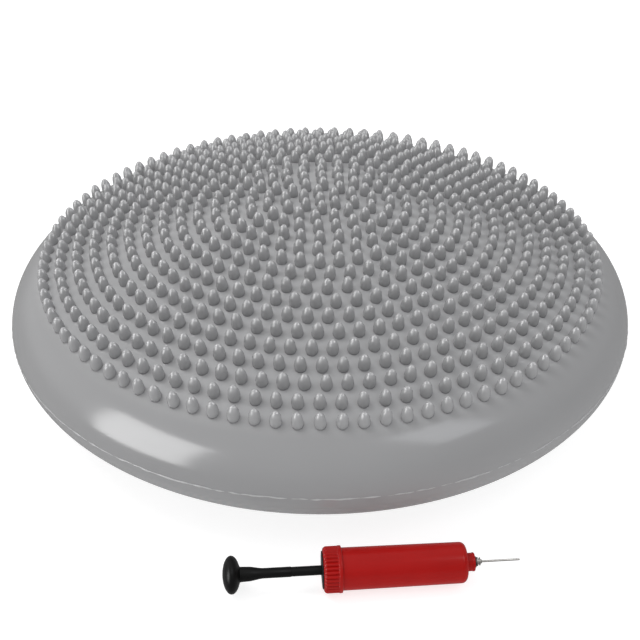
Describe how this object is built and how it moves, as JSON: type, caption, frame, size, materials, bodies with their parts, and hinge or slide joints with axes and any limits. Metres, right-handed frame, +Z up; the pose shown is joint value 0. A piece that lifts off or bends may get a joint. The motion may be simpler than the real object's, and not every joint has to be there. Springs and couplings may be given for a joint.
{
  "type": "wobble cushion",
  "caption": "Round air-filled balance disc with a domed, nubbed top and a plain rounded underside, and the small hand pump with inflating needle that fills it.",
  "frame": {"origin": "centre of the flat foot that the cushion stands on", "axes": "+Z up along the cushion's own axis; -Y towards the pump, +Y towards the valve; the pump lies nearly along +X, handle at -X"},
  "size_m": [0.33, 0.3567, 0.0977],
  "materials": {
    "skin": "satin soft vinyl, moulded",
    "valve": "satin vinyl",
    "rubber": "matt",
    "pump_red": "semi-gloss moulded",
    "pump_black": "satin moulded",
    "needle_metal": "nickel plated"
  },
  "bodies": {
    "cushion_base": {"lower_skin": "skin", "valve_seat": "valve", "valve_core": "rubber"},
    "cushion_top": {"upper_skin": "skin"},
    "pump": {"pump_barrel": "pump_red", "pump_nozzle": "pump_red", "pump_cap": "pump_red", "pump_rod_guide": "pump_black", "pump_rod_wiper": "rubber", "pump_check_disc": "rubber"},
    "plunger": {"pump_handle": "pump_black", "pump_rod": "pump_black", "pump_piston": "pump_black", "pump_cup_seal": "rubber", "pump_cup_washer": "needle_metal", "pump_piston_screw": "needle_metal"},
    "needle": {"needle_hub": "needle_metal", "needle_washer": "rubber", "needle_tube": "needle_metal"}
  },
  "joints": [
    {"name": "sit_press", "type": "slide", "parent": "cushion_base", "child": "cushion_top", "axis": [0, 0, -1], "range_m": [0, 0.025], "stiffness_N_per_m": 16000, "deforming": ["upper_skin"]},
    {"name": "pump_lift", "type": "slide", "parent": "cushion_base", "child": "pump", "axis": [0, 0, 1], "range_m": [0, 0.15]},
    {"name": "plunger_stroke", "type": "slide", "parent": "pump", "child": "plunger", "axis": [0.9973, 0.0732, 0], "range_m": [-0.02, 0.0235]},
    {"name": "needle_out", "type": "slide", "parent": "pump", "child": "needle", "axis": [0.9973, 0.0732, 0], "range_m": [0, 0.02]}
  ]
}
